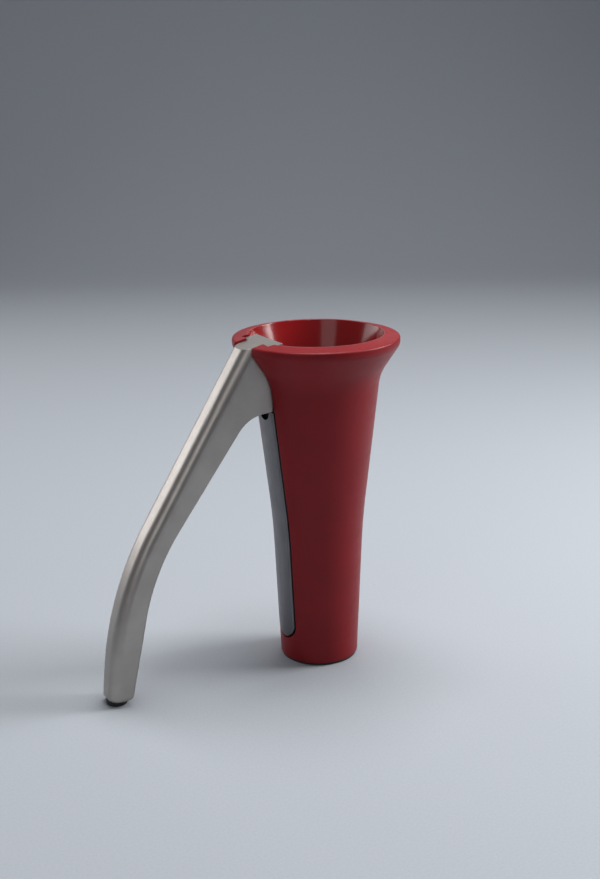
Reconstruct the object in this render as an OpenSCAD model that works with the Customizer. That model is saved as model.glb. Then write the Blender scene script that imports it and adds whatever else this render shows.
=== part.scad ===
// Lever nutcracker: a trumpet-shaped cup with a hinged lever, whose jaw closes through a slot in the wall.
// The origin is the centre of the cup's base, on the surface it stands on. +Z is up and the lever is
// towards -X. Outlines are drawn as [distance from the cup's axis, height].

/* [Cup] */
// Height of the rim at the mouth's edge
body_h = 161.3; // [150:0.1:180]
// Outer radius at the base
base_r = 18.9; // [17.5:0.1:22]
// Height of the waist, where the taper changes
waist_z = 70; // [60:1:84]
// Outer radius at the waist
waist_r = 21.8; // [20.5:0.1:25]
// Height from the rim down to the foot of the flare
flare_h = 18.8; // [16:0.1:22]
// Outer radius at the foot of the flare
flare_r = 30; // [28:0.1:33]
// Outer radius of the rim
rim_r = 39.3; // [36:0.1:44]
// Depth of the rim's outer edge below the mouth's edge
rim_edge = 4.7; // [3.8:0.1:6]
// Fall of the rim's top from the mouth to its outer edge
rim_drop = 1.5; // [0.8:0.1:2.2]
// Radius of the mouth
mouth_r = 31; // [29:0.1:33]
// Thickness of the casing and funnel together below the flare
cup_wall = 4.3; // [4:0.1:5]
// Thickness of the funnel
funnel_t = 1.6; // [1.2:0.1:2]

/* [Slot and jaws] */
// Gap between the lever's neck and each side of the slot in the cup's wall
slot_gap = 0.5; // [0.3:0.05:1]
// Height of the slot's round lower end
slot_z = 11.4; // [10:0.2:16]
// Gap between the moving jaw and the slot at its sides and lower end
jaw_gap = 0.9; // [0.5:0.1:1.5]
// How far the moving jaw stands proud of the casing
jaw_proud = 0.3; // [0:0.1:0.6]
// Depth of the moving jaw through the wall, at the waist
jaw_depth = 6.2; // [5.6:0.1:7]
// Height of the moving jaw's upper end below the rim
jaw_top = 14.8; // [13:0.1:17]
// Width of the fixed jaw
fixed_w = 13; // [10:0.5:15]
// Thickness of the fixed jaw with its teeth
fixed_t = 2.8; // [2.4:0.1:3.2]
// Height of each jaw tooth
tooth = 0.9; // [0.5:0.1:1.2]
// Spacing of the jaw teeth
pitch = 6; // [4:0.5:8]

/* [Lever] */
// Width of the lever, across its side faces
lever_w = 15.2; // [13:0.1:16]
// Angle of the upper arm from the vertical
upper_angle = 32.4; // [29:0.1:35]
// Angle of the lower arm from the vertical
lower_angle = 5.8; // [3:0.1:12]
// Reach of the head's top past the mouth's edge
head_reach = 9.9; // [8.5:0.1:11.5]
// Height of the bend in the lever's back
bend_z = 52; // [46:1:62]
// Depth of the arm at the bend
bend_t = 10.9; // [9.5:0.1:12]
// Depth of the arm at its tip
tip_t = 11; // [9:0.1:13]
// Depth of the arm just below the head
neck_t = 15.4; // [13:0.1:17]
// Radius of the lever's rounded back edges
back_round = 3.6; // [2:0.1:5]
// Radius of the lever's inner edges
inner_round = 1.4; // [0.8:0.1:2.5]
// Height of the head's underside below the rim
head_h = 33.1; // [28:0.1:34]
// Slope of the head's top, falling outwards
top_angle = 8.5; // [6:0.5:11]

/* [Hinge] */
// Width of the T-shaped head
tee_w = 25.4; // [22:0.2:28]
// Thickness of the T-shaped head
tee_t = 7; // [6.6:0.1:8]
// Depth of the hinge's axis below the rim
hinge_drop = 5.3; // [4.8:0.1:6]
// Distance of the hinge's axis in from the mouth's edge
hinge_in = 3; // [2.5:0.1:3.5]
// Diameter of the hinge pin
pin_d = 3; // [2.6:0.1:3.4]
// Length of the hinge pin
pin_l = 36; // [33:0.5:38]
// Wall of each hinge bush
bush_t = 0.8; // [0.6:0.05:1]
// Running clearance of the pin in the bushes, on the radius
pin_clear = 0.05; // [0.02:0.01:0.1]
// Gap between the T-shaped head and its seat in the rim
tee_gap = 0.4; // [0.3:0.05:0.8]
// Diameter of the return spring's wire
wire_d = 0.7; // [0.5:0.05:0.8]

/* [Feet and plug] */
// Height of the rubber ring under the cup
foot_t = 1.2; // [0.8:0.1:2]
// Height of the rubber foot under the lever
lever_foot_t = 2.3; // [1.5:0.1:4]
// Height of the plug inside the cup
plug_h = 6; // [5:0.5:8]

/* [Hidden] */
$fn = 96;
eps = 0.01;
fit_gap = 0.05;      // hairline between pieces that are pushed together
seat_gap = 0.3;      // gap at a stop that a moving piece rests against
slot_w = lever_w + 2 * slot_gap;
big = body_h * 2;

// A path of [point, rounding] pairs; each rounded corner becomes a quadratic curve.
function unit(v) = v / norm(v);
function corner(a, b, c, cut, n) = cut == 0 ? [b] :
  let (p = b + unit(a - b) * cut, q = b + unit(c - b) * cut)
  [for (i = [0:n]) let (t = i / n) p * (1 - t) * (1 - t) + b * 2 * t * (1 - t) + q * t * t];
function rounded(path, n) = let (last = len(path) - 1)
  [for (i = [0:last]) each i == 0 || i == last ? [path[i][0]] :
    corner(path[i - 1][0], path[i][0], path[i + 1][0], path[i][1], n)];
function backwards(list) = [for (i = [len(list) - 1:-1:0]) list[i]];
// The point where a path, drawn upwards, crosses a height.
function at_height(path, z) = let (last = len(path) - 1,
  hits = [for (i = [0:last - 1]) if (path[i][1] <= z && z <= path[i + 1][1]) i],
  i = len(hits) == 0 ? last - 1 : hits[0], a = path[i], b = path[i + 1])
  a[0] + (b[0] - a[0]) * (z - a[1]) / (b[1] - a[1]);

// The cup's outlines, drawn upwards
flare_z = body_h - flare_h;
funnel_lip = 1.8;    // thickness of the funnel at the mouth
lip_h = 1.6;         // height of the bevel at the mouth's edge
lip_bevel = 0.5;     // width of that bevel
flare_in = flare_r - cup_wall - 0.3;           // inner radius at the foot of the flare
waist_round = 12;    // length of curve on each side of the waist
flare_round = 5.5;   // the same at the foot of the flare, outside
throat_round = 8;    // the same at the foot of the flare, inside
base_out = [base_r, foot_t];
waist_out = [waist_r, waist_z];
flare_out = [flare_r, flare_z];
edge_low = [rim_r, body_h - rim_edge];
edge_high = [rim_r - 0.1, body_h - rim_drop];
outer_path = rounded([[base_out, 0], [waist_out, waist_round], [flare_out, flare_round], [edge_low, 1.4],
  [edge_high, 0.9], [[mouth_r + funnel_lip, body_h], 0]], 6);
// The funnel's inner face keeps the wall below the flare and opens to the mouth above it.
base_in = [base_r - cup_wall, foot_t];
waist_in = [waist_r - cup_wall, waist_z];
inner_path = rounded([[base_in, 0], [waist_in, waist_round], [[flare_in, flare_z], throat_round],
  [[mouth_r, body_h - lip_h], 0.6], [[mouth_r + lip_bevel, body_h], 0]], 6);
function grown(path, d) = [for (p = path) p + [d, 0]];
casing_bore = grown(rounded([[base_in, 0], [waist_in, waist_round], [[flare_in, flare_z], throat_round],
  [[mouth_r + funnel_lip - funnel_t, body_h], 0]], 6), funnel_t);
function outer_r(z) = at_height(outer_path, z);
function inner_r(z) = at_height(inner_path, z);
// The part of a path above a height, so that a piece can start there
function above(path, z) = concat([[at_height(path, z), z]], [for (p = path) if (p[1] > z + eps) p]);
funnel_low = foot_t + 2;                       // the funnel stands on the plug's collar at this height
function inner_face() = above(inner_path, funnel_low);
function funnel_back() = grown(above(casing_bore, funnel_low), -fit_gap);

// Hinge, in the lever's plane
hinge_r = mouth_r - hinge_in;
hinge_z = body_h - hinge_drop;
tee_half = tee_t / 2;
bush_r = pin_d / 2 + pin_clear + bush_t;
seat_out = hinge_r + tee_half + 0.85;          // back wall of the T-shaped head's seat
seat_in = 18;                                  // the seat is cut from this radius outwards
seat_floor = hinge_z - tee_half - seat_gap;
spring_half = 3.6;
spring_r = pin_d / 2 + 0.25 + wire_d / 2;      // radius of the coil's centre line
spring_turns = 5.5;
coil_facets = 12;                              // points in one turn of the coil
spring_steps = spring_turns * coil_facets;
coil_half = spring_half - wire_d;              // half the distance between the coil's end turns
spring_leg_h = 5;                              // how far the legs reach below the hinge's axis
spring_anchor_y = 12.2;                        // where the fixed leg ends, inside the funnel's wall
anchor_l = 3;                                  // length of the hole it ends in
leg_gap = 0.15;                                // gap round a leg in its hole
coil_gap = 0.2;                                // gap round the coil in the head

// Lever outlines, drawn downwards: the back, and the inner side from the head's root to the tip
lever_bottom = lever_foot_t;
foot_inset = 0.6;                              // the rubber feet stay this far inside what they carry
root_r = hinge_r - 1.4;                        // inner face of the head's root
root_bend = 7;                                 // how far out the underside runs before it turns down
head_sunk = 0.2;                               // the head's inner edge lies this far under the mouth's edge
function head_top(r) = body_h - head_sunk - (r - hinge_r + tee_half) * tan(top_angle);
back_top = [mouth_r + head_reach, head_top(mouth_r + head_reach)];
function down(from, angle, z) = [from[0] + (from[1] - z) * tan(angle), z];
back_bend = down(back_top, upper_angle, bend_z);
back_tip = down(back_bend, lower_angle, lever_bottom);
arm_z = body_h - head_h - root_bend;           // height where the arm's depth is measured
neck_in = down(back_top, upper_angle, arm_z) - [neck_t / cos(upper_angle), 0];
bend_in_z = bend_z + 10;                       // the inner side bends a little higher than the back
bend_in = down(back_top, upper_angle, bend_in_z) - [bend_t / cos(upper_angle), 0];
tip_in = [back_tip[0] - tip_t, lever_bottom];
root_low = [root_r, body_h - head_h];
back_line = rounded([[back_top, 0], [back_bend, 36], [back_tip, 0]], 12);
inner_line = rounded([[root_low, 0], [[neck_in[0] - root_bend, body_h - head_h], 9], [bend_in, 22],
  [tip_in, 0]], 10);

foot_centre = (back_tip[0] + tip_in[0]) / 2;
peg_r = 2;                                     // peg that holds the rubber foot
peg_h = 4;

// Lever as a loft: each section is a rounded oblong between a point on the back and one on the inner side
sections = 40;
// Each path is walked at an even pace, so its length is measured first.
function lengths(path) = [for (i = 0, s = 0; i < len(path); i = i + 1,
  s = i < len(path) ? s + norm(path[i] - path[i - 1]) : s) s];
function walk(path, s, t) = let (d = t * s[len(s) - 1], last = len(path) - 1,
  i = max([for (k = [0:last - 1]) s[k] <= d ? k : 0]), f = (d - s[i]) / (s[i + 1] - s[i]))
  path[i] * (1 - f) + path[i + 1] * f;
back_s = lengths(back_line);
inner_s = lengths(inner_line);
function back_at(t) = walk(back_line, back_s, t);
// Along the head the inner point goes down the root; below it, along the underside and the arm.
root_share = 0.12;
function inner_at(t) = t < root_share ?
  [root_r, head_top(root_r)] * (1 - t / root_share) + root_low * (t / root_share) :
  walk(inner_line, inner_s, (t - root_share) / (1 - root_share));
function fillet(cx, cy, r, a0, n) = [for (i = [0:n]) let (a = a0 + 90 * i / n)
  [cx + r * cos(a), cy + r * sin(a)]];
// A section from its inner side (x = 0) to the back (x = d), w wide, with its own corner radii
function oblong(d, w, rb, ri) = let (h = w / 2) concat(
  fillet(d - rb, h - rb, rb, 0, 4), fillet(ri, h - ri, ri, 90, 2),
  fillet(ri, ri - h, ri, 180, 2), fillet(d - rb, rb - h, rb, 270, 4));
function place(flat, a, b) = let (u = unit(b - a))
  [for (p = backwards(flat)) let (q = a + u * p[0]) [-q[0], p[1], q[1]]];
function section(t, shrink) = let (a = inner_at(t), b = back_at(t), d = norm(b - a))
  place([for (p = oblong(d, lever_w, min(back_round, d / 2 - 0.2), inner_round)) [
    (p[0] - d / 2) * (1 - shrink / d * 2) + d / 2, p[1] * (1 - shrink / lever_w * 2)]], a, b);
round_from = 0.975;                            // the tip's edge is rounded from here on
lever_rings = concat([for (i = [0:sections]) section(i / sections * round_from, 0)],
  [section(0.987, 0.3), section(0.996, 1), section(1, 2)]);
module loft(rings) {
  n = len(rings[0]);
  m = len(rings);
  sides = [for (i = [0:m - 2], j = [0:n - 1]) let (k = (j + 1) % n)
    each [[i * n + j, i * n + k, (i + 1) * n + k], [i * n + j, (i + 1) * n + k, (i + 1) * n + j]]];
  caps = [[for (j = [n - 1:-1:0]) j], [for (j = [0:n - 1]) (m - 1) * n + j]];
  polyhedron([for (r = rings) each r], concat(sides, caps), convexity = 6);
}

// Jaws
jaw_w = slot_w - 2 * jaw_gap;
jaw_low = slot_z + jaw_gap;
strip_top = body_h - head_h - seat_gap;        // the jaw's outer face ends under the head
tongue_out = root_r - fit_gap;
tongue_t = 3.4;                                // thickness of the tongue screwed to the head
teeth_low = jaw_low + 6;
teeth_top = strip_top - 24;
tongue_z = strip_top - 10;                     // above this the jaw leans in to become the tongue
function jaw_in(z) = min(inner_r(z) - (jaw_depth - cup_wall), tongue_out - tongue_t);
fixed_low = foot_t + plug_h + 6;
fixed_high = flare_z - 42.5;
screw_r = 1.5;
head_r = 2.6;
plug_wall = 2.5;                               // wall of the plug's cup
head_l = 1.4;                                  // length of each screw's head
key_r = 1.1;                                   // hexagon socket in each screw's head
jaw_screw_z = [body_h - 25.3, body_h - 18.8];
fixed_screw_z = [fixed_low + 1.5 * pitch, fixed_high - 1.5 * pitch];
screw_grip = 6;                                // how far a jaw screw reaches into the head
screw_depth = 3.2;                             // how far a fixed screw reaches behind the jaw

module solid_cup(path) {
  rotate_extrude() polygon(concat([[0, path[0][1]]], path, [[0, path[len(path) - 1][1]]]));
}
// A plate lying in the lever's plane, w thick, from an outline of [distance, height] points
module plate(outline, w) {
  rotate([90, 0, 0]) linear_extrude(w, center = true) polygon([for (p = outline) [-p[0], p[1]]]);
}
// A bar along X on the lever's side, with a round lower end at height z
module round_ended(w, z, top) {
  translate([-big, 0, z + w / 2]) rotate([0, 90, 0]) cylinder(r = w / 2, h = big);
  translate([-big, -w / 2, z + w / 2]) cube([big, w, top - z - w / 2]);
}
module across(r, l) {
  rotate([90, 0, 0]) cylinder(r = r, h = l, center = true);
}
module at_hinge() {
  translate([-hinge_r, 0, hinge_z]) children();
}
module head_seat() {
  translate([-seat_out, -tee_w / 2 - tee_gap, seat_floor])
    cube([seat_out - seat_in, tee_w + 2 * tee_gap, big]);
}
module jaw_slot() {
  round_ended(slot_w, slot_z, big);
}

module outer_body() {
  color([0.5, 0.05, 0.07])
  difference() {
    rotate_extrude() polygon(concat(outer_path, backwards(casing_bore)));
    jaw_slot();
    head_seat();
    at_hinge() across(pin_d / 2, pin_l);
    for (z = fixed_screw_z) fixed_screw_hole(z);
  }
}

module inner_funnel() {
  color([0.55, 0.03, 0.05])
  difference() {
    rotate_extrude() polygon(concat(funnel_back(), backwards(inner_face())));
    jaw_slot();
    head_seat();
    at_hinge() across(pin_d / 2, pin_l);
    for (z = fixed_screw_z) fixed_screw_hole(z);
    at_hinge() translate([spring_r, spring_anchor_y - 1, -spring_leg_h])
      across(wire_d / 2 + leg_gap, anchor_l);
  }
}
module fixed_screw_hole(z) {
  translate([inner_r(z) - fixed_t, 0, z]) rotate([0, 90, 0])
    cylinder(r = screw_r, h = fixed_t + screw_depth);
}

// Teeth between two heights, as [stand-off, height] points
function teeth(z0, z1) = let (n = floor((z1 - z0) / pitch))
  [for (i = [0:n - 1]) each [[0, z0 + i * pitch], [tooth, z0 + (i + 0.5) * pitch]]];

module fixed_jaw() {
  face = [for (p = teeth(fixed_low, fixed_high)) [inner_r(p[1]) - fixed_t + tooth - p[0], p[1]]];
  color([0.55, 0.55, 0.57])
  difference() {
    intersection() {
      solid_cup(grown(above(inner_path, funnel_low), -fit_gap));
      mirror([1, 0, 0]) plate(concat(face, [[big, face[len(face) - 1][1]], [big, fixed_low]]), fixed_w);
    }
    for (z = fixed_screw_z) {
      fixed_screw_hole(z);
      translate([0, 0, z]) rotate([0, 90, 0]) cylinder(r = head_r, h = inner_r(z) - fixed_t + head_l);
    }
  }
}

module fixed_jaw_screws() {
  color([0.7, 0.7, 0.72])
  for (z = fixed_screw_z) {
    difference() {
      union() {
        fixed_screw_hole(z);
        translate([inner_r(z) - fixed_t, 0, z]) rotate([0, 90, 0]) cylinder(r = head_r, h = head_l);
      }
      translate([inner_r(z) - fixed_t - 1, 0, z]) rotate([0, 90, 0]) cylinder(r = key_r, h = 2, $fn = 6);
    }
  }
}

module hinge_pin() {
  color([0.75, 0.75, 0.76])
  at_hinge() across(pin_d / 2, pin_l);
}

module base_plug() {
  inner = inner_r(funnel_low) - fit_gap;
  collar = at_height(casing_bore, foot_t) - fit_gap;
  color([0.12, 0.12, 0.12])
  difference() {
    union() {
      translate([0, 0, foot_t]) cylinder(r = collar, h = funnel_low - foot_t);
      translate([0, 0, foot_t]) cylinder(r = inner, h = plug_h);
    }
    translate([0, 0, foot_t - eps]) cylinder(r = inner - plug_wall, h = plug_h - 2);
  }
}

module base_foot() {
  color([0.05, 0.05, 0.05])
  cylinder(r = base_r - foot_inset, h = foot_t);
}

// The spring's fixed leg comes from a hole in the funnel, turns up to the coil, and the moving leg
// drops from the far side of the coil into a hole in the head.
spring_path = concat(
  [[spring_r, spring_anchor_y, -spring_leg_h], [spring_r, coil_half, -spring_leg_h]],
  [for (i = [0:spring_steps]) let (a = i * 360 / coil_facets)
    [spring_r * cos(a), coil_half - 2 * coil_half * i / spring_steps, spring_r * sin(a)]],
  [[-spring_r, -coil_half, -spring_leg_h]]);
module return_spring() {
  last = len(spring_path) - 1;
  rings = [for (i = [0:last]) let (
      run = unit(spring_path[min(i + 1, last)] - spring_path[max(i - 1, 0)]),
      flat = [spring_path[i][0], 0, i < 2 || i == last ? 0 : spring_path[i][2]],
      out = unit(flat - run * (flat * run)), side = cross(run, out))
    [for (j = [5:-1:0]) spring_path[i] + (out * cos(60 * j) + side * sin(60 * j)) * wire_d / 2]];
  color([0.7, 0.7, 0.7])
  at_hinge() loft(rings);
}

module lever() {
  color([0.6, 0.58, 0.56])
  difference() {
    union() {
      loft(lever_rings);
      intersection() {
        at_hinge() union() {
          across(tee_half, tee_w);
          translate([-tee_half, -tee_w / 2, 0]) cube([tee_t, tee_w, hinge_drop]);
        }
        plate([[0, 0], [0, head_top(0)], [back_top[0], back_top[1]], [back_top[0], 0]], big);
      }
    }
    at_hinge() across(bush_r, tee_w + 2);
    at_hinge() across(spring_r + wire_d / 2 + coil_gap, 2 * spring_half);
    at_hinge() translate([spring_r - wire_d, coil_half - wire_d, -tee_t])
      cube([2 * wire_d, 2 * wire_d, tee_t]);
    at_hinge() translate([-spring_r, -coil_half, -spring_leg_h - wire_d])
      cylinder(r = wire_d / 2 + leg_gap, h = spring_leg_h + wire_d);
    for (z = jaw_screw_z) jaw_screw(z);
    translate([-foot_centre, 0, lever_bottom]) cylinder(r = peg_r, h = 2 * peg_h, center = true);
  }
}

module hinge_bushes() {
  color([0.7, 0.55, 0.3])
  for (side = [-1, 1])
    at_hinge() translate([0, side * (tee_w / 2 + spring_half) / 2, 0])
    difference() {
      across(bush_r, tee_w / 2 - spring_half);
      across(pin_d / 2 + pin_clear, tee_w);
    }
}

module moving_jaw() {
  tongue_in = tongue_out - tongue_t;
  face = concat([[jaw_in(jaw_low), jaw_low]],
    [for (p = teeth(teeth_low, teeth_top)) [jaw_in(p[1]) - p[0], p[1]]],
    [[jaw_in(tongue_z), tongue_z], [tongue_in, strip_top], [tongue_in, body_h - jaw_top]]);
  bar = concat(face,
    [[tongue_out, body_h - jaw_top], [tongue_out, strip_top], [big, strip_top], [big, jaw_low]]);
  color([0.35, 0.35, 0.38])
  difference() {
    intersection() {
      solid_cup(grown(outer_path, jaw_proud));
      plate(bar, big);
      round_ended(jaw_w, jaw_low, big);
    }
    for (z = jaw_screw_z) jaw_screw(z);
  }
}

module jaw_screw(z) {
  translate([-tongue_out - screw_grip, 0, z]) rotate([0, 90, 0])
    cylinder(r = screw_r, h = tongue_t + screw_grip);
}
module jaw_screws() {
  color([0.7, 0.7, 0.72])
  for (z = jaw_screw_z) {
    jaw_screw(z);
    translate([-tongue_out + tongue_t, 0, z]) rotate([0, 90, 0]) difference() {
      cylinder(r = head_r, h = head_l);
      translate([0, 0, head_l - 1]) cylinder(r = key_r, h = 2, $fn = 6);
    }
  }
}

module lever_foot() {
  color([0.04, 0.04, 0.04])
  translate([-foot_centre, 0, 0]) {
    cylinder(r = tip_t / 2 - foot_inset, h = lever_foot_t);
    cylinder(r = peg_r, h = lever_foot_t + peg_h);
  }
}

outer_body();
inner_funnel();
fixed_jaw();
fixed_jaw_screws();
hinge_pin();
base_plug();
base_foot();
return_spring();
lever();
hinge_bushes();
moving_jaw();
jaw_screws();
lever_foot();
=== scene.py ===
"""Looks of the lever nutcracker: red trumpet-shaped cup, satin metal lever and a steel jaw in the cup's slot.

Sizes are millimetres, as in the CAD source, until a mesh is made. Outlines are (distance from the cup's
axis, height) pairs, and the lever's side of the cup is -X.
"""

import math

import bmesh
import bpy
import numpy as np
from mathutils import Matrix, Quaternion, Vector


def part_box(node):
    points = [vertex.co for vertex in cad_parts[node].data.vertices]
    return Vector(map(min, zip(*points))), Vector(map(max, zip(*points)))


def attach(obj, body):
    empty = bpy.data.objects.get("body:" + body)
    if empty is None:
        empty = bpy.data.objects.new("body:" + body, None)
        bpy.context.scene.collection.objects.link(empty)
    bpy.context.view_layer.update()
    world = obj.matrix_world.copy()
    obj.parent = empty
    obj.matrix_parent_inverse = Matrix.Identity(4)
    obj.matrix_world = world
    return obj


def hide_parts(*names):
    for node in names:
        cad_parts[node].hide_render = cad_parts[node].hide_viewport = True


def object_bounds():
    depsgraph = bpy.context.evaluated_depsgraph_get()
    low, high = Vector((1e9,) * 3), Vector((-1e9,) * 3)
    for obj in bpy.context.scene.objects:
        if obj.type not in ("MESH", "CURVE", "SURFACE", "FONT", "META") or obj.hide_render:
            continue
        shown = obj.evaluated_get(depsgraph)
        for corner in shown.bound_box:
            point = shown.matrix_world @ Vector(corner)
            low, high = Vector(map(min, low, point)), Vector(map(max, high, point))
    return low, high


MM = 0.001
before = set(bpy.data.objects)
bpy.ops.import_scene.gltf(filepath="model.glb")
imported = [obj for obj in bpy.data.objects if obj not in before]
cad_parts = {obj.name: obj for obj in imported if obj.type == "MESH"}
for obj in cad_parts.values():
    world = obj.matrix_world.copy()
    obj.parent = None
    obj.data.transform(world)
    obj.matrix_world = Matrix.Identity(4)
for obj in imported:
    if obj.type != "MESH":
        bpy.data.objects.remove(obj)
cad_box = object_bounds()


# ---------------------------------------------------------------- sizes that the CAD model fixes
BODY_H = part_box("outer_body")[1].z / MM
FOOT_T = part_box("outer_body")[0].z / MM
BASE_R = 18.9
WAIST = (21.8, 70.0)  # corners of the casing's outline, from the narrow waist up to the rim
FLARE = (30.0, BODY_H - 18.8)
RIM_LOW = (39.3, BODY_H - 4.7)
RIM_HIGH = (39.2, BODY_H - 1.5)
MOUTH_R = 31.0
FUNNEL_LIP = 1.8  # width of the funnel's flat lip on top of the casing
WALL = 4.3  # casing and funnel together
FUNNEL_T = 1.6
SLOT_W = 16.2
SLOT_Z = 11.4  # lower end of the slot
HINGE = (28.0, BODY_H - 5.3)
TEE_W = 25.4  # the T-head's bar across the lever, and half its depth
TEE_HALF = 3.5
TEE_GAP = 0.4  # at each end of the bar
SEAT_ROOM_OUT, SEAT_ROOM_UNDER = 0.85, 0.3  # room between the T-head and its seat in the rim
SEAT_OUT = HINGE[0] + TEE_HALF + SEAT_ROOM_OUT
SEAT_IN = 18.0  # well inside the mouth
SEAT_FLOOR = HINGE[1] - TEE_HALF - SEAT_ROOM_UNDER
SEAT_HALF = TEE_W / 2 + TEE_GAP
LEVER_W = 15.2
HEAD_H = 33.1
HEAD_UNDER = BODY_H - HEAD_H
ROOT_IN = 1.4
ROOT_R = HINGE[0] - ROOT_IN  # inner face of the head's root
TOP_SLOPE = math.tan(math.radians(8.5))
JAW_GAP = 0.9  # between the strip and the slot's edge
JAW_PROUD = 0.3  # the strip stands out of the casing by this much
JAW_T = 6.2
BUSH_R = 2.35  # bore of the head, which the bushes fill
ABOVE = 40.0  # how far a cutter reaches past what it cuts


# ---------------------------------------------------------------- outlines
def rounded(path, steps):
    """A path of (point, rounding) pairs, with each rounded corner as a quadratic curve."""
    out = []
    for i, (point, cut) in enumerate(path):
        b = np.array(point, float)
        if cut == 0:
            out.append(b)
            continue
        a, c = (np.array(path[j][0], float) for j in (i - 1, i + 1))
        p = b + (a - b) / np.linalg.norm(a - b) * cut
        q = b + (c - b) / np.linalg.norm(c - b) * cut
        for t in np.linspace(0, 1, steps + 1):
            out.append(p * (1 - t) ** 2 + b * 2 * t * (1 - t) + q * t * t)
    return np.array(out)


def resampled(path, step):
    """The path with points added so that none are further apart than step(point)."""
    out = [path[0]]
    for a, b in zip(path[:-1], path[1:]):
        n = max(1, math.ceil(np.linalg.norm(b - a) / step((a + b) / 2)))
        out += [a + (b - a) * k / n for k in range(1, n + 1)]
    return np.array(out)


def radius_at(path, z):
    """The radius at which a path, drawn upwards, crosses the height z."""
    return float(np.interp(z, path[:, 1], path[:, 0]))


CURVE_STEPS = 10
BASE_IN, BASE_CUT = 1.5, 0.5  # the base's rounded edge
WAIST_CUT, FLARE_CUT, THROAT_CUT = 12, 5.5, 8
RIM_LOW_CUT, RIM_HIGH_CUT = 1.4, 0.9
LIP_BEVEL, LIP_TOP, LIP_FLAT = 1.6, 0.5, 1.2  # the funnel's lip: bevel height, bevel width, flat width
LIP_LOW_CUT, LIP_HIGH_CUT = 0.6, 0.3
THROAT = (FLARE[0] - WALL - 0.3, FLARE[1])
bore_low = [((BASE_R - WALL, FOOT_T), 0), ((WAIST[0] - WALL, WAIST[1]), WAIST_CUT), (THROAT, THROAT_CUT)]
outer_path = rounded(
    [((BASE_R - BASE_IN, FOOT_T), 0), ((BASE_R, FOOT_T), BASE_CUT), (WAIST, WAIST_CUT), (FLARE, FLARE_CUT),
     (RIM_LOW, RIM_LOW_CUT), (RIM_HIGH, RIM_HIGH_CUT), ((MOUTH_R + FUNNEL_LIP, BODY_H), 0)], CURVE_STEPS)
inner_path = rounded(
    bore_low + [((MOUTH_R, BODY_H - LIP_BEVEL), LIP_LOW_CUT), ((MOUTH_R + LIP_TOP, BODY_H), LIP_HIGH_CUT),
                ((MOUTH_R + LIP_FLAT, BODY_H), 0)], CURVE_STEPS)
bore_path = rounded(bore_low + [((MOUTH_R + FUNNEL_LIP - FUNNEL_T, BODY_H), 0)], CURVE_STEPS) + [FUNNEL_T, 0]
FUNNEL_LOW = FOOT_T + 2  # the funnel ends this far above the casing's lower end


# ---------------------------------------------------------------- meshes
def new_object(name, bm):
    """A mesh object made from a bmesh in millimetres, which is used up."""
    bmesh.ops.scale(bm, vec=(MM, MM, MM), verts=bm.verts)
    mesh = bpy.data.meshes.new(name)
    bm.to_mesh(mesh)
    bm.free()
    obj = bpy.data.objects.new(name, mesh)
    bpy.context.scene.collection.objects.link(obj)
    return obj


def smooth(obj, angle=38):
    """Smooth shading except at edges sharper than the angle."""
    obj.data.polygons.foreach_set("use_smooth", [True] * len(obj.data.polygons))
    obj.data.set_sharp_from_angle(angle=math.radians(angle))
    weighted = obj.modifiers.new("weighted", "WEIGHTED_NORMAL")
    weighted.keep_sharp = True
    weighted.weight = 60


def grid(bm, rows, closed_rows, closed_columns, cap=False):
    """Quads between rows of points. Closed rows join the last to the first, closed columns likewise."""
    verts = [[bm.verts.new(p) for p in row] for row in rows]
    n, m = len(rows), len(rows[0])
    for i in range(n if closed_rows else n - 1):
        a, b = verts[i], verts[(i + 1) % n]
        for j in range(m if closed_columns else m - 1):
            k = (j + 1) % m
            bm.faces.new((a[j], a[k], b[k], b[j]))
    if cap:
        bm.faces.new(list(reversed(verts[0])))
        bm.faces.new(verts[-1])


def lathe(profile):
    """A solid of revolution about the cup's axis from a profile that starts and ends on the axis."""
    bm = bmesh.new()
    angles = np.linspace(0, 2 * math.pi, 96, endpoint=False)
    grid(bm, [[(r * math.cos(a), r * math.sin(a), z) for a in angles] for r, z in profile], False, True)
    bmesh.ops.remove_doubles(bm, verts=bm.verts, dist=1e-4)
    bmesh.ops.recalc_face_normals(bm, faces=bm.faces)
    return bm


def prism(outline, axis, low, high):
    """A closed prism. The outline lies in the two other axes, in X, Y, Z order."""
    bm = bmesh.new()
    others = [i for i in range(3) if i != axis]
    rows = []
    for level in (low, high):
        row = []
        for p in outline:
            q = [0, 0, 0]
            q[axis], q[others[0]], q[others[1]] = level, p[0], p[1]
            row.append(q)
        rows.append(row)
    grid(bm, rows, False, True, cap=True)
    bmesh.ops.recalc_face_normals(bm, faces=bm.faces)
    return bm


def apply_booleans(obj, tools):
    """Applies (cutter, operation) pairs, leaves the result in the object and removes the cutters."""
    for tool, operation in tools:
        m = obj.modifiers.new("cut", "BOOLEAN")
        m.solver, m.operation, m.object = "MANIFOLD", operation, tool
    result = bpy.data.meshes.new_from_object(obj.evaluated_get(bpy.context.evaluated_depsgraph_get()))
    obj.modifiers.clear()
    obj.data = result
    for tool, _ in tools:
        bpy.data.objects.remove(tool)


# ---------------------------------------------------------------- cup
EDGE_R, FUNNEL_EDGE_R = 0.45, 0.2  # rounding of the slot's edges
EDGE_STEPS = [math.radians(a) for a in (67.5, 45, 22.5, 0)]
EDGE_SHARES = (0, 0.35, 0.7, 0.93)  # columns across the slot, as shares of its half width
PAST_EDGE = [0.7, 1.8, 3.2, 4.4]  # columns past the rounded edge
CLEAR = 0.05  # the funnel stays this far off the casing
COARSE = 6.0  # spacing of rows where nothing is seen


def slot_half(z):
    """Half the slot's width at a height, with its round lower end."""
    centre = SLOT_Z + SLOT_W / 2
    if z >= centre:
        return SLOT_W / 2
    return math.sqrt(max(0.0, (SLOT_W / 2) ** 2 - (centre - z) ** 2))


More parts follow.
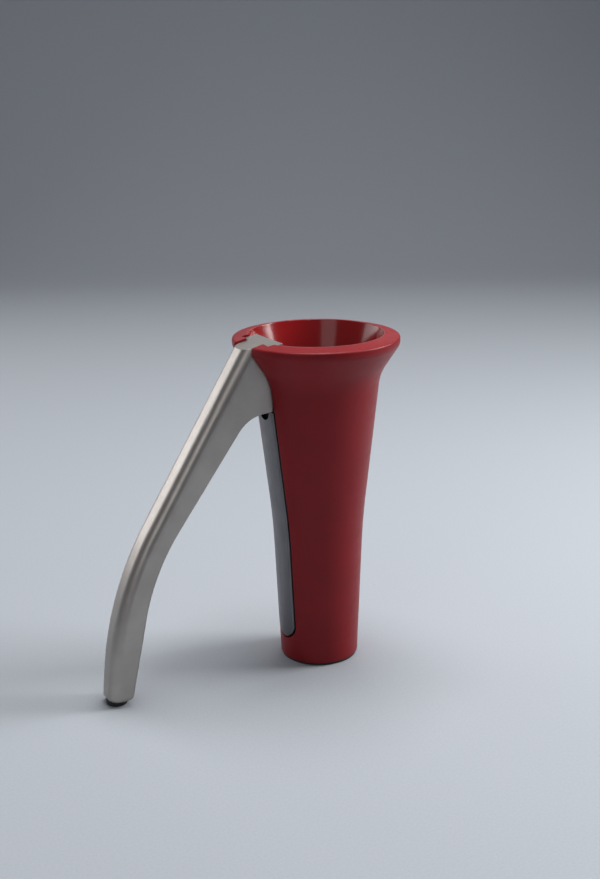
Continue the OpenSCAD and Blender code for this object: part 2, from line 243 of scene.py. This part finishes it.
def past_cut(x, y, z):
    """Distance of a point on the cup from the slot's edge. The seat's edges stay crisp."""
    if x > 0:
        return BODY_H
    centre = SLOT_Z + SLOT_W / 2
    return abs(y) - SLOT_W / 2 if z > centre else math.hypot(y, z - centre) - SLOT_W / 2


def inset(distance, radius):
    """How far a rounded edge has dropped at a distance from the cut."""
    if distance >= radius:
        return 0.0
    return radius - math.sqrt(max(0.0, radius**2 - (radius - max(distance, 0.0)) ** 2))


def column_angles(r, half):
    """Angles round the cup from the lever's side, close together where an edge has to be rounded."""
    tee = SEAT_HALF - SLOT_W / 2
    half = max(half, 0.1)
    near = [-0.02] + [EDGE_R * (1 - math.sin(a)) for a in EDGE_STEPS]
    offsets = near + PAST_EDGE + [tee + d for d in near] + [tee + 0.8]
    inside = [half * share for share in EDGE_SHARES]
    angles = [math.asin(min(0.999, y / r)) for y in inside + [half + d for d in offsets]]
    return angles + list(np.linspace(angles[-1], math.pi, 60))[1:]


def cup_solid(name, skin, back, radius):
    """A wall of revolution: its skin gets rounded edges along the slot and close columns along the seat, and
    both are then cut out.
    """
    profile = np.vstack([skin, back])
    ahead, behind = np.roll(profile, -1, axis=0), np.roll(profile, 1, axis=0)
    rows = []
    for i, (r, z) in enumerate(profile):
        a, b = behind[i], ahead[i]
        if i < len(skin):
            a, b = skin[max(i - 1, 0)], skin[min(i + 1, len(skin) - 1)]
        along = (b - a) / np.linalg.norm(b - a)
        normal = np.array([along[1], -along[0]])
        half_row = []
        for angle in column_angles(r, slot_half(z)):
            x, y = -r * math.cos(angle), r * math.sin(angle)
            drop = inset(past_cut(x, y, z), radius) if i < len(skin) else 0.0
            q = np.array([r, z]) - normal * drop
            half_row.append((-q[0] * math.cos(angle), q[0] * math.sin(angle), q[1]))
        rows.append(half_row + [(x, -y, z) for x, y, z in reversed(half_row[1:-1])])
    bm = bmesh.new()
    grid(bm, rows, True, True)
    bmesh.ops.recalc_face_normals(bm, faces=bm.faces)
    obj = new_object(name, bm)
    centre = SLOT_Z + SLOT_W / 2
    turn = np.linspace(math.pi, 2 * math.pi, 65)
    outline = [(SLOT_W / 2 * math.cos(a), centre + SLOT_W / 2 * math.sin(a)) for a in turn]
    outline += [(SLOT_W / 2, BODY_H + ABOVE), (-SLOT_W / 2, BODY_H + ABOVE)]
    slot = new_object("slot_cutter", prism(outline, 0, -BODY_H, -5))
    corners = [(-SEAT_OUT, -SEAT_HALF), (-SEAT_IN, -SEAT_HALF), (-SEAT_IN, SEAT_HALF), (-SEAT_OUT, SEAT_HALF)]
    seat = new_object("seat_cutter", prism(corners, 2, SEAT_FLOOR, BODY_H + ABOVE))
    apply_booleans(obj, [(slot, "DIFFERENCE"), (seat, "DIFFERENCE")])
    smooth(obj)
    return obj


SEAT_ROWS_R = 35.3  # rows lie close together out to here, just past the seat


def skin_step(point):
    """Spacing of the cup's rows in millimetres."""
    r, z = point
    if abs(z - SLOT_Z) < 0.9:  # the slot's lower end, where its edge runs along the rows
        return 0.09
    if SLOT_Z < z < SLOT_Z + SLOT_W / 2:  # the slot's round part
        return 0.45
    if z > BODY_H - LIP_BEVEL and r < SEAT_ROWS_R:
        return 0.12
    return 1.4 if z < FLARE[1] else 0.9


def above(path, z):
    """The part of a path, drawn upwards, above a height."""
    return np.vstack([[radius_at(path, z), z], path[path[:, 1] > z]])


# The casing's skin ends where its bore starts, so the shared last point of the bore is left out.
casing = cup_solid("casing", resampled(outer_path, skin_step),
                   resampled(bore_path[-2::-1], lambda p: COARSE), EDGE_R)
lip = np.array([[MOUTH_R + FUNNEL_LIP - CLEAR, BODY_H]])
face_down = above(inner_path, FUNNEL_LOW)[::-1]
funnel = cup_solid("funnel", resampled(np.vstack([lip, face_down]), skin_step),
                   resampled(above(bore_path, FUNNEL_LOW)[:-1] - [CLEAR, 0], lambda p: COARSE), FUNNEL_EDGE_R)


# ---------------------------------------------------------------- lever
UPPER, LOWER = 32.4, 5.8  # slope of the arm's two halves, degrees from the vertical
TIP_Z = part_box("lever")[0].z / MM
BACK_R, INNER_R, TIP_ROUND = 5.6, 1.4, 2.4  # rounding of the back's edges, the inner edges and the tip
HEAD_REACH, HEAD_SUNK = 9.9, 0.2
NECK_T, BEND_T, TIP_T = 15.4, 10.9, 11.0  # depth of the arm, from its inner side to its back
BEND_Z, BEND_RISE = 52.0, 10.0  # height of the back's bend, and how much higher the inner side bends
ROOT_BEND = 7  # how far out the head's underside runs before it turns down
ROOT_CUT, NECK_CUT, INNER_CUT, BACK_CUT = 0.8, 9, 22, 36
BACK_OVER, ROOT_OVER = 12, 4  # the back and the root are drawn this far too high, then cut by the head's top


def head_top(r):
    """Height of the head's sloping top at a radius."""
    return BODY_H - HEAD_SUNK - (r - HINGE[0] + TEE_HALF) * TOP_SLOPE


def down(start, degrees, z):
    """The point at height z on a line that leaves the start downwards and outwards."""
    return (start[0] + (start[1] - z) * math.tan(math.radians(degrees)), z)


def off_the_back(point, depth):
    """The radius that lies a depth inside the upper arm's back."""
    return point[0] - depth / math.cos(math.radians(UPPER))


back_top = (MOUTH_R + HEAD_REACH, head_top(MOUTH_R + HEAD_REACH))
back_bend = down(back_top, UPPER, BEND_Z)
back_tip = down(back_bend, LOWER, TIP_Z)
bend_in = (off_the_back(down(back_top, UPPER, BEND_Z + BEND_RISE), BEND_T), BEND_Z + BEND_RISE)
tip_in = (back_tip[0] - TIP_T, TIP_Z)
neck_r = off_the_back(down(back_top, UPPER, HEAD_UNDER - ROOT_BEND), NECK_T) - ROOT_BEND
above_head = down(back_top, UPPER, back_top[1] + BACK_OVER)
back_line = rounded([(above_head, 0), (back_bend, BACK_CUT), (back_tip, 0)], 24)
inner_line = rounded([((ROOT_R, BODY_H + ROOT_OVER), 0), ((ROOT_R, HEAD_UNDER), ROOT_CUT),
                      ((neck_r, HEAD_UNDER), NECK_CUT), (bend_in, INNER_CUT), (tip_in, 0)], 20)


def walker(path):
    """A function from 0..1 to a point on the path, at an even pace."""
    s = np.concatenate([[0], np.cumsum(np.linalg.norm(np.diff(path, axis=0), axis=1))])
    return lambda t: np.array([np.interp(t * s[-1], s, path[:, k]) for k in (0, 1)]), s[-1]


def oblong(depth, width, shrink):
    """A rounded section: x from the inner side to the back, y across. Shrunk all round at the tip."""
    back_r, h = min(BACK_R, depth / 2 - 0.2), width / 2
    back_x, back_y, inner_y = depth - back_r, h - back_r, h - INNER_R
    corners = ((back_x, back_y, back_r, 0, 10), (INNER_R, inner_y, INNER_R, 90, 5),
               (INNER_R, -inner_y, INNER_R, 180, 5), (back_x, -back_y, back_r, 270, 10))
    points = []
    for cx, cy, r, start, n in corners:
        for k in range(n + 1):
            a = math.radians(start + 90 * k / n)
            points.append((cx + r * math.cos(a), cy + r * math.sin(a)))
    scale = (1 - 2 * shrink / depth, 1 - 2 * shrink / width)
    return [((x - depth / 2) * scale[0] + depth / 2, y * scale[1]) for x, y in points]


def lever_mesh():
    """The arm, neck and root as one sweep from above the head down to the tip."""
    back, length = walker(back_line)
    inner, inner_length = walker(inner_line)
    stops = [(t, 0.0) for t in np.linspace(0, 1 - TIP_ROUND / length, 90)]
    for a in np.radians(np.linspace(15, 90, 6)):
        stops.append((1 - TIP_ROUND / length * (1 - math.sin(a)), TIP_ROUND * (1 - math.cos(a))))
    # The inner side's long way round the head is taken in the first part of the walk.
    share_inner = np.linalg.norm(inner_line[0] - (ROOT_R, HEAD_UNDER)) / inner_length
    share_back = 0.2
    rows = []
    for t, shrink in stops:
        a, b = inner(np.interp(t, (0, share_back, 1), (0, share_inner, 1))), back(t)
        depth = np.linalg.norm(b - a)
        unit = (b - a) / depth
        row = []
        for x, y in oblong(depth, LEVER_W, shrink):
            q = a + unit * x
            row.append((-q[0], y, q[1]))
        rows.append(row)
    bm = bmesh.new()
    grid(bm, rows, False, True, cap=True)
    bmesh.ops.recalc_face_normals(bm, faces=bm.faces)
    return bm


def round_hinge(radius, start, stop, steps, ring=False):
    """Points of an arc about the hinge's axis, as (x, z)."""
    return [(-HINGE[0] + radius * math.cos(a), HINGE[1] + radius * math.sin(a))
            for a in np.linspace(start, stop, steps, endpoint=not ring)]


TOP_BEVEL, FINE_BEVEL = 1.3, 0.35  # the head's outer top edge, and every other sharp edge
TOP_BEVEL_IN = 3.5  # how far in from the head's outer corner the larger bevel runs
SHARP = 30  # degrees between two faces that make an edge


def build_lever():
    """The lever: the sweep and the T-head's bar, cut by the head's sloping top and the pin's bore."""
    lever = new_object("lever_casting", lever_mesh())
    bar_outline = round_hinge(TEE_HALF, math.pi, 2 * math.pi, 33)
    bar_outline += [(-HINGE[0] + TEE_HALF, BODY_H + 3), (-HINGE[0] - TEE_HALF, BODY_H + 3)]
    bar = new_object("bar", prism(bar_outline, 1, -TEE_W / 2, TEE_W / 2))
    top = [(-back_top[0] - ABOVE, head_top(back_top[0] + ABOVE)), (0, head_top(0)), (0, BODY_H + ABOVE),
           (-back_top[0] - ABOVE, BODY_H + ABOVE)]
    lid = new_object("lid", prism(top, 1, -ABOVE, ABOVE))
    bore_outline = round_hinge(BUSH_R, 0, 2 * math.pi, 64, ring=True)
    bore = new_object("bore", prism(bore_outline, 1, -TEE_W / 2 - 2, TEE_W / 2 + 2))
    apply_booleans(lever, [(bar, "UNION"), (lid, "DIFFERENCE"), (bore, "DIFFERENCE")])
    bm = bmesh.new()
    bm.from_mesh(lever.data)
    bmesh.ops.remove_doubles(bm, verts=bm.verts, dist=1e-6)
    bmesh.ops.dissolve_limit(bm, angle_limit=math.radians(1), verts=bm.verts, edges=bm.edges)

    def sharp_edges():
        """The sharp edges, each with its middle as (radius, height)."""
        for e in bm.edges:
            if len(e.link_faces) == 2 and e.calc_face_angle(0) > math.radians(SHARP):
                mid = (e.verts[0].co + e.verts[1].co) / 2 / MM
                yield e, -mid.x, mid.z

    def bevel(edges, width, segments, material=-1):
        bmesh.ops.bevel(bm, geom=edges, offset=width * MM, segments=segments, profile=0.5, affect="EDGES",
                        clamp_overlap=True, material=material)

    bevel([e for e, r, z in sharp_edges() if r > back_top[0] - TOP_BEVEL_IN and abs(z - head_top(r)) < 0.05],
          TOP_BEVEL, 6)
    # The other sharp edges get the second material: a polished edge whose lighter base colour paints a
    # highlight along each bevel.
    # The bore's own edges stay crisp, as the bushes end there.
    bevel([e for e, r, z in sharp_edges() if math.hypot(r - HINGE[0], z - HINGE[1]) > BUSH_R + 0.2],
          FINE_BEVEL, 3, material=1)
    bm.to_mesh(lever.data)
    bm.free()
    smooth(lever)
    return lever


lever = build_lever()


# ---------------------------------------------------------------- moving jaw
JAW_HALF = SLOT_W / 2 - JAW_GAP
JAW_LOW = SLOT_Z + JAW_GAP
STRIP_TOP = HEAD_UNDER - 0.3
TONGUE_OUT = ROOT_R - 0.05  # the tongue above the strip lies against the head's root
TONGUE_IN = TONGUE_OUT - 3.4
TONGUE_TOP = BODY_H - 14.8
JAW_BEVEL = 0.5
SCOOP_R = 4.6  # radius of the round notch in the strip's upper end
SCOOP_IN = 1.2  # depth of the notch behind the root's inner face
TOOTH, PITCH = 0.9, 6.0
TEETH_LOW, TEETH_TOP = JAW_LOW + 6, STRIP_TOP - 24


def jaw_half(z):
    """Half the strip's width at a height, with its round lower end."""
    centre = JAW_LOW + JAW_HALF
    return JAW_HALF if z > centre else math.sqrt(max(1e-4, JAW_HALF**2 - (centre - z) ** 2))


def jaw_inside(y, z):
    """Distance inside the jaw's outline."""
    centre = JAW_LOW + JAW_HALF
    return JAW_HALF - abs(y) if z > centre else JAW_HALF - math.hypot(y, z - centre)


def jaw_in(z):
    """Radius of the jaw's inner face, with its teeth."""
    plain = min(radius_at(inner_path, z) - (JAW_T - WALL), TONGUE_IN)
    count = math.floor((TEETH_TOP - TEETH_LOW) / PITCH)
    if not TEETH_LOW < z < TEETH_LOW + (count - 0.5) * PITCH:
        return plain
    phase = (z - TEETH_LOW) / PITCH % 1
    return plain - TOOTH * (1 - abs(2 * phase - 1))


def jaw_row(z, outer, inner):
    """A closed row round the jaw at a height. Without an outer radius the row belongs to the tongue."""
    half = jaw_half(z)
    laterals = [f * max(half - JAW_BEVEL, 0.3 * half) for f in (0, 0.3, 0.6, 0.85, 1)]
    for a in np.radians((22.5, 45, 67.5, 90)):
        laterals.append(half - min(JAW_BEVEL, 0.7 * half) * (1 - math.sin(a)))
    points = []
    for y in laterals:
        if outer is None:
            points.append((-TONGUE_OUT, y, z))
        else:
            r = outer - inset(jaw_inside(y, z), JAW_BEVEL)
            points.append((-math.sqrt(r * r - y * y), y, z))
    points += [(points[-1][0] * (1 - f) - inner * f, half, z) for f in (0.35, 0.7, 1)]
    points += [(-inner, half * f, z) for f in (0.6, 0.2)]
    return points + [(x, -y, w) for x, y, w in reversed(points) if y > 1e-9]


def build_jaw():
    """The jaw: the strip in the slot with its teeth inside, the tongue above it and the notch at its top."""
    centre = JAW_LOW + JAW_HALF
    levels = [centre - JAW_HALF * math.cos(a) for a in np.radians(np.linspace(3, 90, 26))]
    levels += list(np.arange(TEETH_LOW, STRIP_TOP - 1, PITCH / 4)[1:])
    levels = sorted(set(round(z, 4) for z in levels if z < STRIP_TOP - 0.8))
    levels += [STRIP_TOP - 0.5, STRIP_TOP - 0.15, STRIP_TOP]
    rows = [jaw_row(z, radius_at(outer_path, z) + JAW_PROUD, jaw_in(z)) for z in levels]
    rows += [jaw_row(z, None, TONGUE_IN) for z in (STRIP_TOP, TONGUE_TOP - 0.4, TONGUE_TOP)]
    bm = bmesh.new()
    grid(bm, rows, False, True, cap=True)
    bmesh.ops.recalc_face_normals(bm, faces=bm.faces)
    jaw = new_object("jaw_strip", bm)
    outline = [(SCOOP_R * math.cos(a), STRIP_TOP + SCOOP_R * math.sin(a))
               for a in np.linspace(0, 2 * math.pi, 96, endpoint=False)]
    scoop = new_object("scoop", prism(outline, 0, -BODY_H, -TONGUE_OUT + SCOOP_IN))
    apply_booleans(jaw, [(scoop, "DIFFERENCE")])
    smooth(jaw, 50)
    return jaw


jaw = build_jaw()


# ---------------------------------------------------------------- feet
def soft_disc(radius, low, high, edge):
    """Profile of a disc with rounded edges."""
    turn = np.radians(np.linspace(0, 90, 6))
    under = [(radius - edge + edge * math.sin(a), low + edge - edge * math.cos(a)) for a in turn]
    over = [(radius - edge + edge * math.cos(a), high - edge + edge * math.sin(a)) for a in turn]
    return [(0, low), (radius * 0.6, low)] + under + over + [(radius * 0.6, high), (0, high)]


BASE_INSET, BASE_SOFT, TIP_SOFT = 0.6, 0.3, 0.35  # edges of the two rubber feet
FOOT_SUNK = 0.4  # the tip's foot reaches this far into the lever's rounded end
base_foot = new_object("rubber_base", lathe(soft_disc(BASE_R - BASE_INSET, 0, FOOT_T, BASE_SOFT)))
smooth(base_foot)
foot_low, foot_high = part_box("lever_foot")
foot_bm = lathe(soft_disc((foot_high.x - foot_low.x) / 2 / MM, 0, TIP_Z + FOOT_SUNK, TIP_SOFT))
bmesh.ops.translate(foot_bm, vec=((foot_low.x + foot_high.x) / 2 / MM, 0, 0), verts=foot_bm.verts)
lever_foot = new_object("rubber_tip", foot_bm)
smooth(lever_foot)


# ---------------------------------------------------------------- materials
def material(name):
    """A new material and its shader."""
    m = bpy.data.materials.new(name)
    m.use_nodes = True
    m.node_tree.nodes.clear()
    out = m.node_tree.nodes.new("ShaderNodeOutputMaterial")
    shader = m.node_tree.nodes.new("ShaderNodeBsdfPrincipled")
    m.node_tree.links.new(shader.outputs["BSDF"], out.inputs["Surface"])
    return m, shader


def node(m, kind, inputs=None):
    """A new node with its inputs set to values or linked to sockets."""
    n = m.node_tree.nodes.new(kind)
    for key, value in (inputs or {}).items():
        if isinstance(value, bpy.types.NodeSocket):
            m.node_tree.links.new(value, n.inputs[key])
        else:
            n.inputs[key].default_value = value
    return n


def noise(m, scale, detail, stretch=(1, 1, 1)):
    """Noise in metres of the row frame, so its grain has a real size."""
    place = node(m, "ShaderNodeTexCoord").outputs["Object"]
    mapped = node(m, "ShaderNodeMapping", {"Vector": place, "Scale": stretch})
    inputs = {"Vector": mapped.outputs["Vector"], "Scale": scale, "Detail": detail, "Roughness": 0.5}
    return node(m, "ShaderNodeTexNoise", inputs).outputs["Fac"]


def spread(m, value, low, high):
    """A number between low and high, following a noise value."""
    return node(m, "ShaderNodeMapRange", {"Value": value, "From Min": 0.3, "From Max": 0.7, "To Min": low,
                                          "To Max": high}).outputs["Result"]


def blend(m, value, a, b):
    """A colour between a and b, following a noise value."""
    ramp = node(m, "ShaderNodeValToRGB", {"Fac": value})
    ramp.color_ramp.elements[0].position, ramp.color_ramp.elements[1].position = 0.3, 0.7
    ramp.color_ramp.elements[0].color, ramp.color_ramp.elements[1].color = (*a, 1), (*b, 1)
    return ramp.outputs["Color"]


def bump(m, value, strength, distance, onto=None):
    n = node(m, "ShaderNodeBump", {"Height": value, "Strength": strength, "Distance": distance})
    if onto is not None:
        m.node_tree.links.new(onto, n.inputs["Normal"])
    return n.outputs["Normal"]


def finish_as(m, shader, colour, roughness, normal):
    for socket, value in (("Base Color", colour), ("Roughness", roughness), ("Normal", normal)):
        if isinstance(value, bpy.types.NodeSocket):
            m.node_tree.links.new(value, shader.inputs[socket])
        elif value is not None:
            shader.inputs[socket].default_value = value


def red_paint(name, dark, light, rough_low, rough_high, coat, peel, shine):
    """Paint with faint clouds and orange peel. Shine is the specular level under the coat."""
    m, shader = material(name)
    colour = blend(m, noise(m, 60, 3), dark, light)
    rough = spread(m, noise(m, 320, 4), rough_low, rough_high)
    normal = bump(m, noise(m, 2200, 2), 0.12, 0.00003, bump(m, noise(m, 420, 2), peel, 0.00006))
    finish_as(m, shader, colour, rough, normal)
    shader.inputs["Specular IOR Level"].default_value = shine
    shader.inputs["Coat Weight"].default_value = coat
    shader.inputs["Coat Roughness"].default_value = 0.12
    return m


def metal(name, dark, light, rough_low, rough_high, stretch, grain_scale, grain_strength):
    """Metal with a grain that can be drawn out along an axis."""
    m, shader = material(name)
    grain = noise(m, grain_scale, 2, stretch)
    colour = blend(m, noise(m, 90, 4), dark, light)
    rough = spread(m, noise(m, grain_scale * 0.4, 3, stretch), rough_low, rough_high)
    finish_as(m, shader, colour, rough, bump(m, grain, grain_strength, 0.00004))
    shader.inputs["Metallic"].default_value = 1.0
    return m


def rubber(name, colour, rough):
    """Matte black with a fine grain."""
    m, shader = material(name)
    grain = noise(m, 1500, 3)
    tone = blend(m, noise(m, 200, 2), colour, tuple(c * 1.6 for c in colour))
    finish_as(m, shader, tone, spread(m, grain, rough - 0.08, rough + 0.08), bump(m, grain, 0.25, 0.00005))
    return m


EVEN, ALONG_Y, ALONG_Z = (1, 1, 1), (1, 0.05, 1), (1, 1, 0.03)  # stretch of a metal's grain
satin_red = red_paint("satin_red", (0.20, 0.007, 0.010), (0.225, 0.008, 0.012), 0.36, 0.44,
                      coat=0.0, peel=0.10, shine=0.22)
gloss_red = red_paint("gloss_red", (0.22, 0.005, 0.006), (0.25, 0.006, 0.008), 0.16, 0.22,
                      coat=0.3, peel=0.05, shine=0.2)
casting = metal("satin_casting", (0.37, 0.34, 0.32), (0.42, 0.39, 0.37), 0.36, 0.44, EVEN, 2600, 0.35)
# The fine bevels' metal is polished, and its base colour, twice the casting's, paints a highlight along every
# edge.
polished_and_highlight = metal("polished_edge_and_painted_highlight", (0.74, 0.71, 0.69), (0.78, 0.75, 0.73), 0.18, 0.26, EVEN, 2600, 0.15)
jaw_metal = metal("jaw_steel", (0.15, 0.145, 0.158), (0.185, 0.18, 0.192), 0.34, 0.46, ALONG_Z, 2200, 0.15)
screw_metal = metal("screw_steel", (0.55, 0.55, 0.57), (0.62, 0.62, 0.64), 0.25, 0.33, EVEN, 1800, 0.2)
pin_metal = metal("pin_steel", (0.6, 0.6, 0.62), (0.68, 0.68, 0.7), 0.16, 0.24, ALONG_Y, 1800, 0.2)
bush_metal = metal("bush_brass", (0.5, 0.36, 0.15), (0.6, 0.44, 0.2), 0.28, 0.36, EVEN, 1500, 0.2)
black_rubber = rubber("black_rubber", (0.012, 0.012, 0.013), 0.7)
black_plastic = rubber("black_plastic", (0.02, 0.02, 0.021), 0.5)


def dress(obj, m):
    """Gives the object its main material without losing which faces use the second one."""
    which = [p.material_index for p in obj.data.polygons]
    obj.data.materials.clear()
    obj.data.materials.append(m)
    obj.data.polygons.foreach_set("material_index", which)


for piece, body, cad_node, slot, m in (
        (casing, "cup", "outer_body", "red_satin", satin_red),
        (funnel, "cup", "inner_funnel", "red_gloss", gloss_red),
        (base_foot, "cup", "base_foot", "black_rubber", black_rubber),
        (lever, "lever", "lever", "satin_casting", casting),
        (jaw, "lever", "moving_jaw", "jaw_steel", jaw_metal),
        (lever_foot, "lever", "lever_foot", "black_rubber", black_rubber)):
    dress(piece, m)
    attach(piece, body)
    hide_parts(cad_node)
# The lever's second material, for its fine bevels: polished, with a painted highlight.
lever.data.materials.append(polished_and_highlight)

for cad_node, m in (("fixed_jaw", jaw_metal), ("fixed_jaw_screws", screw_metal), ("hinge_pin", pin_metal),
                    ("base_plug", black_plastic), ("return_spring", pin_metal), ("hinge_bushes", bush_metal),
                    ("jaw_screws", screw_metal)):
    for material_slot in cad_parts[cad_node].material_slots:
        material_slot.material = m


# ---------------------------------------------------------------- floor, light and camera
right = Vector((0.872, -0.489, 0))
ahead = Vector((0.489, 0.872, 0))
up = Vector((0, 0, 1))
CAMERA_PLACE = Vector((-0.2979, -0.5142, 0.2852))
CAMERA_LOOK = Vector((0.4693, 0.8363, -0.2837))
CAMERA_ROLL = 0.0143
FLOOR_FRONT, FLOOR_BACK, FLOOR_HALF = -2.0, 1.1, 2.5  # metres, along and across the camera's look
SWEEP_R, WALL_TOP = 0.6, 2.2


def floor():
    """A pale floor that curves up into a backdrop behind the object."""
    along = Vector((CAMERA_LOOK.x, CAMERA_LOOK.y, 0)).normalized()
    side = Vector((along.y, -along.x, 0))
    turn = np.radians(np.linspace(6, 90, 15))
    profile = [(FLOOR_FRONT, 0), (FLOOR_BACK, 0)]
    profile += [(FLOOR_BACK + SWEEP_R * math.sin(a), SWEEP_R * (1 - math.cos(a))) for a in turn]
    profile += [(FLOOR_BACK + SWEEP_R, WALL_TOP)]
    bm = bmesh.new()
    grid(bm, [[(along * d + side * w + up * h) / MM for w in (-FLOOR_HALF, FLOOR_HALF)] for d, h in profile],
         False, False)
    obj = new_object("floor", bm)
    obj.data.polygons.foreach_set("use_smooth", [True] * len(obj.data.polygons))
    m, shader = material("floor_paper")
    finish_as(m, shader, blend(m, noise(m, 900, 3), (0.36, 0.385, 0.42), (0.39, 0.415, 0.45)), 0.85, None)
    dress(obj, m)


def area_light(name, offset, size, power):
    """A white rectangular lamp at an offset from the object's middle, aimed at the middle."""
    data = bpy.data.lights.new(name, "AREA")
    data.shape, data.size, data.size_y = "RECTANGLE", size[0], size[1]
    data.energy = power
    obj = bpy.data.objects.new(name, data)
    obj.location = (cad_box[0] + cad_box[1]) / 2 + offset
    obj.rotation_mode = "QUATERNION"
    obj.rotation_quaternion = (-offset).to_track_quat("-Z", "Y")
    bpy.context.scene.collection.objects.link(obj)


floor()
area_light("key", right * 0.8 + ahead * 0.15 + up * 0.5, (0.35, 0.5), 8.0)
area_light("top", right * 0.1 + ahead * 0.15 + up * 1.0, (0.5, 0.5), 9.0)
area_light("back_left", right * -0.85 + ahead * 0.5 + up * 0.27, (0.7, 0.45), 2.6)
area_light("behind", right * 0.1 + ahead * 0.95 + up * 0.45, (0.9, 0.25), 0.5)
area_light("front", right * -0.4 + ahead * -0.9 + up * 0.45, (0.5, 0.5), 1.0)

world = bpy.data.worlds.new("studio")
world.use_nodes = True
world.node_tree.nodes["Background"].inputs["Color"].default_value = (0.80, 0.84, 0.9, 1)
world.node_tree.nodes["Background"].inputs["Strength"].default_value = 0.17
bpy.context.scene.world = world

lens = bpy.data.cameras.new("camera")
lens.lens = 53.24
lens.sensor_width = 36
lens.clip_start, lens.clip_end = 0.01, 20
camera = bpy.data.objects.new("camera", lens)
camera.location = CAMERA_PLACE
camera.rotation_mode = "QUATERNION"
camera.rotation_quaternion = CAMERA_LOOK.to_track_quat("-Z", "Y") @ Quaternion((0, 0, 1), -CAMERA_ROLL)
bpy.context.scene.collection.objects.link(camera)
bpy.context.scene.camera = camera
bpy.context.scene.view_settings.view_transform = "Standard"
